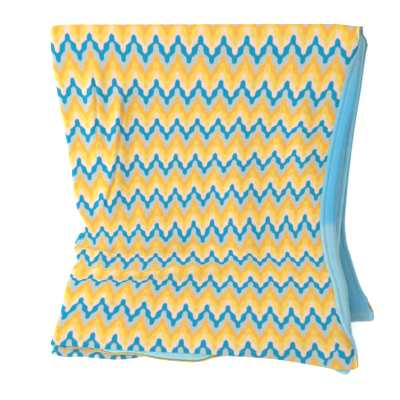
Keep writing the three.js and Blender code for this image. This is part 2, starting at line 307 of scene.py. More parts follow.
# Sharp creases of the upper layers along a line, in steps. On its near side, which is the left or upper one,
# and on its far side the cloth rises from the line: the height in millimetres, how soon it gets there and how
# far it takes to come down, in steps. A crease hides some steps of the print, between two distances from the
# line, and pulls the print towards it from a distance on each side.
Crease = namedtuple("Crease", "line near far hides between pull")
CREASES = (
    Crease(
        ((93, 62), (96, 84), (97.2, 100), (97.6, 116), (97.8, 142)),
        near=(5.8, 4, 11), far=(2.6, 0.9, 22), hides=1.4, between=(-4, 0.6), pull=20,
    ),
    Crease(
        (
            (126, 80), (125, 96), (124.2, 110), (122, 128), (120.2, 142), (117.6, 165), (114, 186),
            (109, 198), (106.8, 207), (103, 218),
        ),
        near=(6.4, 4, 11), far=(1.7, 0.9, 24), hides=2, between=(-4, 0.6), pull=20,
    ),
    Crease(
        ((88.5, 221), (87, 228), (86, 234), (86, 242)),
        near=(0.8, 2, 4), far=(0.8, 2, 4), hides=3.4, between=(-2, 2.6), pull=9,
    ),
    Crease(
        ((78, 214), (84, 216.4), (92, 219), (101, 221)),
        near=(1.6, 1.6, 5), far=(1, 1, 5), hides=2, between=(-1, 1), pull=8,
    ),
    Crease(
        ((66, 244.4), (74, 246.4), (84, 247.8), (102, 250.4), (116, 253.4)),
        near=(3.4, 2.4, 8), far=(1.4, 1, 6), hides=9, between=(-0.8, 0.8), pull=10,
    ),
    Crease(
        (
            (74, 258), (80, 263), (86, 266.6), (104, 268.6), (124, 270), (142, 271), (160, 270), (174, 266),
            (201, 265), (217, 264), (244, 266),
        ),
        near=(2, 2, 8), far=(1.2, 1, 8), hides=9, between=(-0.8, 0.8), pull=11,
    ),
    Crease(
        ((62, 275), (84, 277.2), (110, 278.6), (134, 278.8), (158, 277)),
        near=(1.4, 1.6, 6), far=(1.6, 3, 8), hides=9, between=(-1, 5), pull=10,
    ),
    Crease(
        ((140, 240), (176, 243), (206, 243.6), (226, 247.4), (240, 251), (262, 258)),
        near=(2, 3, 9), far=(1.4, 1.4, 8), hides=6, between=(-1.5, 1.5), pull=9,
    ),
    Crease(
        ((113, 184), (109, 198), (106.8, 207), (104, 218)),
        near=(2.8, 2.4, 7), far=(1.6, 0.9, 9), hides=0, between=(-1, 0.6), pull=8,
    ),
    Crease(
        ((99, 251), (103, 259), (107, 269)),
        near=(2.6, 3, 7), far=(0.8, 1, 5), hides=1.4, between=(-2, 0.6), pull=8,
    ),
    Crease(
        ((339, 346), (334, 354), (326, 365)),
        near=(2.4, 2, 7), far=(1.6, 0.9, 8), hides=4, between=(-1.5, 0.8), pull=8,
    ),
    Crease(
        ((354.6, 27), (353.6, 36), (353, 46)),
        near=(2.2, 1, 5), far=(1.6, 0.6, 5), hides=1.6, between=(-1, 0.6), pull=6,
    ),
)

# Places where the print is pulled aside: the middle and the reach of each pull, and how far it goes to the
# right and down, in steps
NUDGES = (
    (136, 200, 22, 16, 0.5, -3),
    (268, 256, 26, 8, 0, 3.4),
    (138, 250, 30, 9, 0, 4),
    (92, 241, 22, 7, 0, -2),
    (246, 112, 18, 16, 0, -2.2),
    (238, 155, 24, 12, 0, 1.6),
    (145, 162, 24, 22, 0, -1.5),
    (120, 326, 18, 10, 0, -2.4),
    (56, 322, 13, 30, 0, 7),
    (260, 338, 16, 10, 0, 1.8),
    (130, 272, 34, 8, 0, 2),
    (114, 302, 26, 14, 0, -3),
    (302, 124, 20, 10, 0, 2.6),
    (88, 246, 12, 12, 4, 2),
    (80, 262, 10, 8, 1.5, -2),
    (112, 150, 14, 70, 1.2, 0),
    (87, 230, 8, 7, 3, 0),
    (83, 254, 8, 7, -2, 0),
    (226, 45, 40, 12, 0, 1),
    (347, 48, 12, 16, 0, 3.4),
    (336, 36, 20, 9, -1.8, 0.6),
    (96, 50, 20, 14, 0, -1.6),
    (59, 60, 8, 16, 0, 2.2),
    (118, 100, 18, 12, 0, -1.2),
    (73, 170, 8, 9, 0, 2.6),
    (291, 318, 14, 10, 0, 2.2),
    (282, 287, 20, 9, 0, -1.6),
)

# The print's usual columns and rows, in steps, and how much of a sharp crease each layer takes
COLUMN_PITCH = 20
ROW_PITCH = 38
CREASE_SHARE = {"top": 1, "lower": 0.4, "under_lower": 0.1, "base": 0}

# Small unevenness of the cloth: its size in steps, its height in millimetres and its seed
UNEVENNESS = ((26, 0.4, 3), (9, 0.176, 5))


def smooth(low, high, value):
    t = np.clip((value - low) / (high - low), 0, 1)
    return t * t * (3 - 2 * t)


def mix(a, b, share):
    return a + (b - a) * share


def along(table, key, column, at):
    """A smooth curve through one column of a table, without overshoot."""
    keys, values = table[key], table[column]
    slopes = np.diff(values) / np.diff(keys)
    product = slopes[:-1] * slopes[1:]
    total = np.where(product > 0, slopes[:-1] + slopes[1:], 1)
    tangents = np.concatenate(([slopes[0]], np.where(product > 0, 2 * product / total, 0), [slopes[-1]]))
    at = np.clip(at, keys[0], keys[-1])
    i = np.clip(np.searchsorted(keys, at) - 1, 0, len(keys) - 2)
    span = keys[i + 1] - keys[i]
    t = (at - keys[i]) / span
    return (
        (2 * t**3 - 3 * t**2 + 1) * values[i]
        + (t**3 - 2 * t**2 + t) * span * tangents[i]
        + (3 * t**2 - 2 * t**3) * values[i + 1]
        + (t**3 - t**2) * span * tangents[i + 1]
    )


def across(left, middle, right, share):
    """A curve through three values at shares 0, a half and 1."""
    return (
        left * (1 - 2 * share) * (1 - share)
        + middle * 4 * share * (1 - share)
        + right * share * (2 * share - 1)
    )


def row_at(share, distance):
    """The printed row at a place. The print runs slightly askew to the hem."""
    return FIRST_ROW + (LAST_ROW - FIRST_ROW) * distance / (HALF_LENGTH - across(*LAST_ROW_FROM_HEM, share))


def level_of(layer, share, distance):
    """Height down the layout of a place on one layer, in steps."""
    table = FRONT_ROWS if layer in ("top", "lower") else BACK_ROWS
    prefix = {"top": "", "lower": "lower_", "under_lower": "", "base": "base_"}[layer]
    row_share = share if layer == "top" else np.zeros_like(share)

    def at(row):
        return across(
            along(table, "row", "left", row),
            along(table, "row", prefix + "middle", row),
            along(table, "row", prefix + "right", row),
            share,
        )

    hem = along(HEMS, "share", layer, share) - at(row_at(row_share, HALF_LENGTH))
    return at(row_at(row_share, distance)) + hem * smooth(0.8 * HALF_LENGTH, HALF_LENGTH, distance)


def cover_of(layer, x, y):
    """How far one layer covers a place, from 1 inside its edge to 0 past the droop."""
    left = along(OUTLINE, "y", "left", y)
    right = along(OUTLINE, "y", layer, y)
    share = np.clip((x - left) / (right - left), 0, 1)
    past = np.maximum(x - right, y - along(HEMS, "share", layer, share))
    return 1 - smooth(0, DROOP_RUN, past)


def ridge_height(x, y):
    height = np.zeros_like(x)
    for x0, y0, x1, y1, width, top in zip(*RIDGES.values()):
        dx, dy = x1 - x0, y1 - y0
        length = math.hypot(dx, dy)
        t = ((x - x0) * dx + (y - y0) * dy) / length**2
        off = ((x - x0) * dy - (y - y0) * dx) / length
        ends = smooth(-0.12, 0.3, t) * (1 - smooth(0.6, 1.12, t))
        height += top * ends * np.exp(-((off / width) ** 2))
    return height


LAYERS = ("base", "under_lower", "lower", "top")
DROP_BELOW = {
    "base": OUTER_HEIGHT - INNER_HEIGHT,
    "under_lower": 2 * INNER_HEIGHT,
    "lower": OUTER_HEIGHT - INNER_HEIGHT,
}


def relief_of(layer, x, y):
    """Rise or fall of one layer over the lie of a flat, even stack."""
    relief = ridge_height(x, y) * RIDGE_SHARE[layer]
    for under in LAYERS[: LAYERS.index(layer)]:
        relief = relief - DROP_BELOW[under] * (1 - cover_of(under, x, y))
    return relief


def is_upright(line):
    return abs(line[-1][1] - line[0][1]) > abs(line[-1][0] - line[0][0])


def beside(line, x, y):
    """Distance to a line, minus on its left or upper side, and how far along it the nearest point is."""
    nearest = np.full(x.shape, 1e9)
    side = np.zeros_like(x)
    run = np.zeros_like(x)
    passed = 0
    for (x0, y0), (x1, y1) in zip(line, line[1:]):
        length = math.dist((x0, y0), (x1, y1))
        dx, dy = (x1 - x0) / length, (y1 - y0) / length
        t = np.clip((x - x0) * dx + (y - y0) * dy, 0, length)
        off_x, off_y = x - x0 - t * dx, y - y0 - t * dy
        apart = np.hypot(off_x, off_y)
        closer = apart < nearest
        nearest = np.where(closer, apart, nearest)
        side = np.where(closer, dx * off_y - dy * off_x, side)
        run = np.where(closer, passed + t, run)
        passed += length
    return nearest, -side if is_upright(line) else side, run / passed


def crease_height(x, y):
    """Shoulders of the sharp creases, with a cut between them."""
    height = np.zeros_like(x)
    for crease in CREASES:
        nearest, side, run = beside(crease.line, x, y)
        ends = smooth(0, 0.2, run) * (1 - smooth(0.84, 1, run))
        for on_side, (rise, soon, far) in ((side < 0, crease.near), (side >= 0, crease.far)):
            shape = (1 - np.exp(-nearest / soon)) * np.exp(-((nearest / far) ** 2))
            height += np.where(on_side, rise * ends * shape, 0)
    return height


def soft_noise(x, y, size, seed):
    """Smooth random values from -1 to 1 over the layout, on a grid of the given size."""
    grid = np.random.default_rng(seed).uniform(-1, 1, (64, 64))
    fx, fy = x / size, y / size
    ix, iy = np.floor(fx).astype(int), np.floor(fy).astype(int)
    tx, ty = fx - ix, fy - iy
    tx, ty = tx * tx * (3 - 2 * tx), ty * ty * (3 - 2 * ty)

    def corner(a, b):
        return grid[(iy + b) % 64, (ix + a) % 64]

    return mix(mix(corner(0, 0), corner(1, 0), tx), mix(corner(0, 1), corner(1, 1), tx), ty)


def lip_at(s):
    """The turned margin at one distance from the top fold. On the back half it lies flat."""
    row = row_at(1.0, s)
    turn = np.radians(along(LIPS, "row", "turn", row))
    length = along(LIPS, "row", "length", row)
    quarter = np.minimum(turn, math.pi / 2)
    reach = LIP_BEND / np.maximum(turn, 1e-6) * np.sin(quarter)
    return turn, length, reach + PLUSH_FACE * np.sin(quarter), smooth(0, math.pi / 3, turn)


def margin_of(s, level):
    """The left edge, and where the turned margin's bend starts on the flat cloth and as it lies."""
    length, bulge, share = lip_at(s)[1:]
    crease = along(OUTLINE, "y", "crease", level) * STEP - bulge
    plain_edge = along(OUTLINE, "y", "base", level) * STEP - length
    left = along(OUTLINE, "y", "left", level) * STEP
    return left, HALF_WIDTH - length, mix(plain_edge, crease, share)


class Place:
    """Where one place of the cloth lies. u runs across from the left fold, s down from the top fold."""

    def __init__(self, u, s):
        turn = np.clip(math.pi / 2 * (1 - s / TOP_REACH), 0, math.pi)
        distance = np.maximum(np.abs(s), TOP_REACH)
        self.front = 1 - turn / math.pi
        self.outer = 0.5 + 0.5 * np.sin(np.clip(u / SIDE_RADIUS, -math.pi / 2, math.pi / 2))
        past = np.maximum(np.abs(u) - SIDE_REACH, 0)
        share = past / (HALF_WIDTH - SIDE_REACH)
        self.level = self.blend(lambda layer: level_of(layer, share, distance))
        left = along(OUTLINE, "y", "left", self.level) * STEP + SIDE_RADIUS + PRINT_FACE

        fold_x = left - SIDE_RADIUS * np.cos(u / SIDE_RADIUS)
        fold_height = (OUTER_HEIGHT + INNER_HEIGHT) / 2 + SIDE_RADIUS * np.sin(u / SIDE_RADIUS)

        back_right = along(OUTLINE, "y", "under_lower", self.level)
        front_right = along(OUTLINE, "y", "lower", self.level)
        right = STEP * mix(back_right, front_right, self.front)
        inner_x = mix(left, right, share)

        bend_start, crease_start = margin_of(s, self.level)[1:]
        lip_turn = lip_at(s)[0]
        beyond = np.maximum(u - bend_start, 0)
        outer_x = mix(left, crease_start, (past - beyond) / (bend_start - SIDE_REACH))
        radius = LIP_BEND / np.maximum(lip_turn, 1e-6)
        angle = np.minimum(beyond, LIP_BEND) / radius
        straight = np.maximum(beyond - LIP_BEND, 0)
        outer_x = outer_x + radius * np.sin(angle) + straight * np.cos(angle)
        outer_rise = radius * (1 - np.cos(angle)) + straight * np.sin(angle)

        on_fold = np.abs(u) < SIDE_REACH
        x = np.where(on_fold, fold_x, np.where(u < 0, inner_x, outer_x))
        self.x_step = x / STEP
        pressed_hem = HEM_PRESS * smooth(HALF_LENGTH - HEM_PRESS_RUN, HALF_LENGTH, s)
        pressed_hem = pressed_hem * (1 - smooth(*HEM_PRESS_END, self.x_step))
        outer_height = OUTER_HEIGHT + outer_rise - pressed_hem
        height = np.where(on_fold, fold_height, np.where(u < 0, INNER_HEIGHT, outer_height))
        height = np.where(on_fold, height - pressed_hem * self.outer, height)
        relief = self.blend(lambda layer: relief_of(layer, self.x_step, self.level))
        full = TOP_FULLNESS * np.sin(turn) ** 2 * smooth(*FULL_LEFT_END, self.x_step)
        full = full * (1 - smooth(*FULL_RIGHT_END, self.x_step))
        fallen = 1 - FALL_SHARE * smooth(*FALL_RUN, self.x_step)
        self.middle = np.stack(
            (
                x - LAYOUT_X * STEP,
                (LAYOUT_Y - self.level) * STEP + height * np.sin(turn) * fallen + full,
                STACK_CENTRE + height * np.cos(turn) + relief,
            ),
            axis=-1,
        )

    def blend(self, value_of):
        """A value mixed from the four layers, by which side of each fold the place is on."""
        back = mix(value_of("under_lower"), value_of("base"), self.outer)
        front = mix(value_of("lower"), value_of("top"), self.outer)
        return mix(back, front, self.front)

    def fine_relief(self):
        """Sharp creases and small unevenness, straight up from the folds."""
        share = self.blend(lambda layer: np.full(self.level.shape, float(CREASE_SHARE[layer])))
        uneven = 0.6
        for size, height, seed in UNEVENNESS:
            uneven = uneven + height * soft_noise(self.x_step, self.level, size, seed)
        return share * (crease_height(self.x_step, self.level) + uneven)


def directions(u, s):
    """Unit directions at a place: across the cloth, down it, and out of its printed side."""
    small = 0.02
    across_cloth = Place(u + small, s).middle - Place(u - small, s).middle
    down_cloth = Place(u, s + small).middle - Place(u, s - small).middle
    out = np.cross(down_cloth, across_cloth)
    return [way / np.linalg.norm(way, axis=-1, keepdims=True) for way in (across_cloth, down_cloth, out)]


def surface(u, s, offset):
    """Points of the plush at a distance from the cloth's middle. It spans sharp creases from below."""
    points = Place(u, s).middle + directions(u, s)[2] * offset[..., None]
    nearby = ((0, 0), (CREASE_SPAN, 0), (-CREASE_SPAN, 0), (0, CREASE_SPAN), (0, -CREASE_SPAN))
    points[..., 2] += np.minimum.reduce([Place(u + i, s + j).fine_relief() for i, j in nearby])
    return points


def roll_at(u, s):
    """How far the print's edge rolls over onto the plush, from 0 to 1: at the hem, and by the corner."""
    hem = smooth(*HEM_ROLL_START, u) * smooth(*HEM_ROLL_END, u) * (s > 0)
    corner = smooth(*CORNER_ROLL_START, s) * (1 - smooth(*CORNER_ROLL_END, s)) * (u > 0)
    return hem, corner


def tucked(u, s):
    """The plush's stations, drawn in where the print's edge rolls over them."""
    hem, corner = roll_at(u, s)
    near_hem = 1 - smooth(0, ROLL_TUCK_REACH, HALF_LENGTH - np.abs(s))
    near_side = 1 - smooth(0, ROLL_TUCK_REACH, HALF_WIDTH - np.abs(u))
    return u - np.sign(u) * ROLL_TUCK * corner * near_side, s - np.sign(s) * ROLL_TUCK * hem * near_hem


def rolled_surface(u, s, offset):
    """The printed ply's surface, whose edge rolls over the plush's edge in some places."""
    hem, corner = roll_at(u, s)
    inset_s, inset_u = HALF_LENGTH - np.abs(s), HALF_WIDTH - np.abs(u)
    on_hem = np.clip((ROLL_INSET - inset_s) / ROLL_INSET, 0, 1) * (hem > 0)
    on_side = np.clip((ROLL_INSET - inset_u) / ROLL_INSET, 0, 1) * (corner > 0)
    held_s = np.where(on_hem > 0, np.sign(s) * (HALF_LENGTH - mix(inset_s, ROLL_INSET, hem)), s)
    held_u = np.where(on_side > 0, np.sign(u) * (HALF_WIDTH - mix(inset_u, ROLL_INSET, corner)), u)
    angle = ROLL_TURN * (on_hem * hem + on_side * corner)
    across_cloth, down_cloth, out = directions(held_u, held_s)
    outward = np.where((on_side > 0)[..., None], across_cloth, down_cloth)
    place = Place(held_u, held_s)
    lever = offset + ROLL_PIVOT
    points = place.middle + outward * (lever * np.sin(angle))[..., None]
    points += out * (lever * np.cos(angle) - ROLL_PIVOT)[..., None]
    points[..., 2] += place.fine_relief()
    return points


def print_place(u, s):
    """Column and row of the print at a place of the cloth, columns from the middle of the top layer."""
    share = np.maximum(u - SIDE_REACH, 0) / (HALF_WIDTH - SIDE_REACH)
    distance = np.maximum(np.abs(s), TOP_REACH)
    front_row = row_at(share, distance)
    level = level_of("top", share, distance)
    left, bend_start, crease_start = margin_of(s, level)
    fold_end = left + SIDE_RADIUS + PRINT_FACE
    on_top = mix(fold_end, crease_start, (u - SIDE_REACH) / (bend_start - SIDE_REACH))
    flat = np.where(u < SIDE_REACH, fold_end + u - SIDE_REACH, on_top)
    flat = np.where(u > bend_start, crease_start + u - bend_start, flat)
    x = flat / STEP
    from_start = x - along(PRINT_COLUMNS, "row", "start", front_row)
    left_pitch = along(PRINT_COLUMNS, "row", "left", front_row)
    right_pitch = along(PRINT_COLUMNS, "row", "right", front_row)
    column = from_start / mix(left_pitch, right_pitch, smooth(-8, 8, from_start))
    row = np.where(s > 0, row_at(share, s), FIRST_ROW + BACK_ROW_SPAN * s / HALF_LENGTH)
    row = row + along(PRINT_SHIFT, "row", "shift", row)

    # The print lies askew on the back half, at the bottom left corner and by the inner hem and the top fold
    column = column + BACK_COLUMN_SHIFT * smooth(0, -HALF_LENGTH, s)
    by_corner = np.exp(-(((u + 2) / 8) ** 2)) * smooth(50 - HALF_LENGTH, -HALF_LENGTH, s)
    column = column + CORNER_COLUMN_SHIFT * by_corner
    row = row + CORNER_ROW_SHIFT * by_corner
    inner_hem = smooth(-SIDE_REACH, -60, u) * smooth(0.8 * HALF_LENGTH, HALF_LENGTH, s)
    row = row + INNER_HEM_ROW_SHIFT * inner_hem
    askew = FOLD_ROW_SHIFT * ((1 - smooth(70, 150, x)) - smooth(290, 335, x))
    row = row + askew * (1 - smooth(0, 2 * TOP_REACH, np.abs(s)))

    # Creases swallow part of the print, and small pulls in the cloth move it
    on_front = smooth(-2, 6, u) * smooth(0, TOP_REACH, s)
    for x0, y0, width, height, right, down in NUDGES:
        near = on_front * np.exp(-(((x - x0) / width) ** 2) - ((level - y0) / height) ** 2)
        column = column - near * right / COLUMN_PITCH
        row = row - near * down / ROW_PITCH
    for crease in CREASES:
        nearest, side, run = beside(crease.line, x, level)
        swallowed = smooth(0, 0.15, run) * (1 - smooth(0.85, 1, run)) * crease.hides / 2
        swallowed = swallowed * (2 * smooth(*crease.between, nearest * np.sign(side)) - 1)
        pulled = swallowed * np.exp(-((nearest / crease.pull) ** 2))
        if is_upright(crease.line):
            column = column + on_front * pulled / COLUMN_PITCH
        else:
            row = row + on_front * pulled / ROW_PITCH
    return column, row


def spread(start, end, size):
    """Even stations from start up to end, about the given size apart, without the end."""
    return np.linspace(start, end, max(2, round(abs(end - start) / size)), endpoint=False)


def edge_stations(edge, inward):
    """Stations across a sewn edge, from the edge inward."""
    return edge + inward * np.array((0, 0.35, 0.8, 1.7, 2.9, 4.4, 5.3, 6, 6.7, 7.8, 10, 12.5))


def cloth_grid(top_size, crease_size, lip_size, hidden_size):
    """Stations (u, s) of the whole cloth, closer together where the creases and the turned margin are."""
    s = np.concatenate(
        (
            edge_stations(-HALF_LENGTH, 1),
            spread(-HALF_LENGTH + 15, -TOP_REACH, hidden_size),
            spread(-TOP_REACH, TOP_REACH, min(2.4, hidden_size)),
            spread(TOP_REACH, 244, top_size),
            spread(244, 334, crease_size),
            spread(334, HALF_LENGTH - 15, top_size),
            edge_stations(HALF_LENGTH, -1)[::-1],
        )
    )
    length = lip_at(s)[1]
    fixed = np.concatenate(
        (
            edge_stations(-HALF_WIDTH, 1),
            spread(-HALF_WIDTH + 15, -SIDE_REACH, hidden_size),
            spread(-SIDE_REACH, SIDE_REACH, 1.1),
            spread(SIDE_REACH, 24, top_size),
            spread(24, 88, crease_size),
            spread(88, HALF_WIDTH - 40, top_size),
        )
    )
    moving = []
    bend_start = HALF_WIDTH - length
    for share in np.linspace(0, 1, 6, endpoint=False):
        moving.append(mix(HALF_WIDTH - 40, bend_start, share))
    for share in np.linspace(0, 1, 8, endpoint=False):
        moving.append(bend_start + LIP_BEND * share)
    bend_end = bend_start + LIP_BEND
    edge = np.minimum(1, (length - LIP_BEND) / 12.6)
    inner = HALF_WIDTH - 12.5 * edge
    for share in np.linspace(0, 1, max(2, round(4 / lip_size)), endpoint=False):
        moving.append(mix(bend_end, inner, share))
    for inset in edge_stations(0, 1)[::-1]:
        moving.append(HALF_WIDTH - inset * edge)
    u = np.concatenate((np.tile(fixed, (len(s), 1)), np.stack(moving, axis=1)), axis=1)
    return round_corners(u, np.repeat(s[:, None], u.shape[1], axis=1))


def round_corners(u, s):
    """The same stations, with the cloth's four corners rounded."""
    near_hem = np.clip(CORNER_RADIUS - (HALF_LENGTH - np.abs(s)), 0, CORNER_RADIUS)
    pull = CORNER_RADIUS - np.sqrt(CORNER_RADIUS**2 - near_hem**2)
    reach = np.clip((np.abs(u) - HALF_WIDTH + 24) / 24, 0, 1)
    return u - np.sign(u) * pull * reach, s


def ply_mesh(name, u, s, side, thickness, edge_column):
    """One ply as a closed thin sheet: side is 1 for the print and -1 for the plush."""
    inset = np.minimum(HALF_WIDTH - np.abs(u), HALF_LENGTH - np.abs(s))
    kept = along(EDGE, "inset", edge_column, inset)
    if side > 0:
        rolled = np.maximum(*roll_at(u, s))
        kept = mix(kept, np.maximum(kept, 0.7), rolled)
        lay, lay_u, lay_s = rolled_surface, u, s
    else:
        lay, (lay_u, lay_s) = surface, tucked(u, s)
    near = lay(lay_u, lay_s, np.full(u.shape, side * PLY_GAP / 2))
    far = lay(lay_u, lay_s, side * (PLY_GAP / 2 + thickness * kept))
    rows, cols = u.shape
    index = np.arange(rows * cols).reshape(rows, cols)
    other = index + rows * cols
    a, b, c, d = index[:-1, :-1], index[:-1, 1:], index[1:, 1:], index[1:, :-1]
    quads = [np.stack((a, b, c, d), axis=-1).reshape(-1, 4)]
    far_quads = np.stack((a, d, c, b), axis=-1).reshape(-1, 4) + rows * cols
    quads.append(far_quads)
    for edge, other_edge in (
        (index[:, 0], other[:, 0]),
        (index[-1, :], other[-1, :]),
        (index[::-1, -1], other[::-1, -1]),
        (index[0, ::-1], other[0, ::-1]),
    ):
        quads.append(np.stack((edge[:-1], edge[1:], other_edge[1:], other_edge[:-1]), axis=-1))
    faces = np.concatenate(quads)
    if side < 0:
        faces = faces[:, ::-1]
    points = np.concatenate((near.reshape(-1, 3), far.reshape(-1, 3))) * MM
    column, row = print_place(u, s)
    return sheet_mesh(
        name,
        points,
        faces,
        {
            "Print": np.stack((column, row), axis=-1).reshape(-1, 2),
            "Cloth": np.stack((u, s), axis=-1).reshape(-1, 2) * MM,
        },
    )


def sheet_mesh(name, points, faces, maps):
    """A mesh from arrays, with one UV map for each set of places. Both faces of the sheet share them."""
    mesh = bpy.data.meshes.new(name)
    mesh.vertices.add(len(points))
    mesh.vertices.foreach_set("co", points.astype(np.float32).ravel())
    mesh.loops.add(faces.size)
    mesh.loops.foreach_set("vertex_index", faces.astype(np.int32).ravel())
    mesh.polygons.add(len(faces))
    mesh.polygons.foreach_set("loop_start", np.arange(0, faces.size, 4, dtype=np.int32))
    mesh.update(calc_edges=True)
    for map_name, places in maps.items():
        both = np.concatenate((places, places))
        layer = mesh.uv_layers.new(name=map_name)
        layer.uv.foreach_set("vector", both[faces.ravel()].astype(np.float32).ravel())
    mesh.polygons.foreach_set("use_smooth", np.ones(len(faces), dtype=bool))
    mesh.validate()
    piece = bpy.data.objects.new(name, mesh)
    bpy.context.scene.collection.objects.link(piece)
    return piece


def add_node(tree, kind, settings=None, sockets=None):
    """One node: its settings first, then the values or links of its sockets."""
    node = tree.nodes.new(kind)
    for name, value in (settings or {}).items():
        if name == "stops":
            fill_ramp(node.color_ramp, value)
        else:
            setattr(node, name, value)
    for name, value in (sockets or {}).items():
        if isinstance(value, Wire):
            value = value.socket
        if isinstance(value, bpy.types.NodeSocket):
            tree.links.new(value, node.inputs[name])
        else:
            node.inputs[name].default_value = value
    return node


def fill_ramp(ramp, stops):
    while len(ramp.elements) > 1:
        ramp.elements.remove(ramp.elements[-1])
    ramp.elements[0].position, ramp.elements[0].color = stops[0]
    for position, colour in stops[1:]:
        ramp.elements.new(position).color = colour


class Wire:
    """A number that runs between shader nodes, so that a sum on it reads as plain Python."""

    def __init__(self, paint, socket):
        self.paint = paint
        self.socket = socket

    def _math(self, operation, *values):
        node = self.paint.node("ShaderNodeMath", {"operation": operation}, dict(enumerate(values)))
        return Wire(self.paint, node.outputs[0])

    def __add__(self, other):
        return self._math("ADD", self, other)

    def __radd__(self, other):
        return self._math("ADD", other, self)

    def __sub__(self, other):
        return self._math("SUBTRACT", self, other)

    def __rsub__(self, other):
        return self._math("SUBTRACT", other, self)

    def __mul__(self, other):
        return self._math("MULTIPLY", self, other)

    def __rmul__(self, other):
        return self._math("MULTIPLY", other, self)

    def fraction(self):
        return self._math("FRACT", self)

    def size(self):
        return self._math("ABSOLUTE", self)

    def step(self, low, high):
        """0 below low, 1 above high, with a smooth change between."""
        node = self.paint.node(
            "ShaderNodeMapRange",
            {"interpolation_type": "SMOOTHSTEP"},
            {"Value": self, "From Min": low, "From Max": high},
        )
        return Wire(self.paint, node.outputs["Result"])


class Paint:
    """A material whose nodes are made one by one."""

    def __init__(self, name):
        self.material = bpy.data.materials.new(name)
        self.material.use_nodes = True
        self.tree = self.material.node_tree
        self.tree.nodes.clear()

    def node(self, kind, settings=None, sockets=None):
        return add_node(self.tree, kind, settings, sockets)

    def uv(self, name):
        """Both numbers of a place in one of the piece's own maps."""
        place = self.node("ShaderNodeUVMap", {"uv_map": name})
        parts = self.node("ShaderNodeSeparateXYZ", sockets={"Vector": place.outputs[0]})
        return Wire(self, parts.outputs["X"]), Wire(self, parts.outputs["Y"])

    def object_place(self):
        return self.node("ShaderNodeTexCoord").outputs["Object"]

    def noise(self, place, scale, detail=2.0, roughness=0.5):
        sockets = {"Vector": place, "Scale": scale, "Detail": detail, "Roughness": roughness}
        node = self.node("ShaderNodeTexNoise", sockets=sockets)
        return Wire(self, node.outputs["Fac"])

    def mix(self, share, first, second, blend="MIX"):
        """A colour mixed from two."""
        settings = {"data_type": "RGBA", "blend_type": blend}
        node = self.node("ShaderNodeMix", settings, {"Factor": share, 6: first, 7: second})
        return node.outputs[2]

    def finish(self, sockets):
        """The surface itself."""
        shader = self.node("ShaderNodeBsdfPrincipled", sockets=sockets)
        self.node("ShaderNodeOutputMaterial", sockets={"Surface": shader.outputs[0]})
        return self.material

    def bump(self, height, strength, distance, under=None):
        sockets = {"Height": height, "Strength": strength, "Distance": distance}
        if under is not None:
            sockets["Normal"] = under
        return self.node("ShaderNodeBump", sockets=sockets).outputs[0]


def rgba(colour):
    return (*colour, 1.0)


def cotton_material(colours):
    """Brushed cotton with a printed stepped zigzag in five colours."""
    paint = Paint("printed brushed cotton")
    column, row = paint.uv("Print")
    place = paint.object_place()

    # The zigzag climbs from a valley to a peak in two steps, and its outline is slightly uneven, as printed
    wobble = paint.noise(place, 420.0) - 0.5
    phase = ((column + wobble * 0.05 + 0.5).fraction() - 0.5).size()
    climb = phase * 0.42 + phase.step(0.09, 0.135) * 0.10 + phase.step(0.355, 0.4) * 0.125
    band = (row + climb + wobble * 0.025 + 0.0825).fraction()

    names = ("blue", "aqua", "orange", "yellow", "peach")
    blue, aqua, orange, yellow, peach = (rgba(getattr(colours, name)) for name in names)
    soft = 0.014
    stops = [(0.0, yellow), (0.014, yellow), (0.014 + 2 * soft, peach)]
    for edge, before, after, blur in (
        (0.19, peach, blue, soft),
        (0.405, blue, aqua, soft),
        (0.61, aqua, orange, soft),
        (0.815, orange, yellow, 3 * soft),
    ):
        stops += [(edge - blur, before), (edge + blur, after)]
    printed = paint.node("ShaderNodeValToRGB", {"stops": stops}, {"Fac": band}).outputs["Color"]

    # Ink takes unevenly, and the brushed surface is a little paler on its fibre tips
    blotch = paint.noise(place, 90.0, 3.0).step(0.3, 0.7)
    fibre = paint.noise(place, 1500.0, 3.0, 0.6).step(0.35, 0.75)
    ochre = rgba([part * share for part, share in zip(colours.yellow, (0.82, 0.86, 0.66))])
    upright = (phase - 0.25).size().step(0.1, 0.24)
    in_yellow = band.step(0.8, 0.94)
    shaded = paint.mix(in_yellow * upright * (0.35 + blotch * 0.5), printed, ochre)
    tipped = paint.mix((1 - fibre) * 0.10 + blotch * 0.04, shaded, (0, 0, 0, 1))

    # Weave: warp and weft threads by the cloth's own lengths, under a short brushed nap
    across_cloth, down_cloth = paint.uv("Cloth")
    warp = (across_cloth * 1400.0).fraction() - 0.5
    weft = (down_cloth * 1400.0).fraction() - 0.5
    weave = warp.size() + weft.size()
    woven = paint.bump(weave.socket, 0.12, 0.0003)
    napped = paint.bump(fibre.socket, 0.35, 0.0004, woven)
    rumpled = paint.bump(paint.noise(place, 160.0, 2.0).socket, 0.25, 0.0012, napped)
    return paint.finish(
        {
            "Base Color": tipped,
            "Roughness": 0.92 - fibre * 0.06,
            "Normal": rumpled,
            "Sheen Weight": 0.04,
            "Sheen Roughness": 0.6,
            "Specular IOR Level": 0.1,
        }
    )


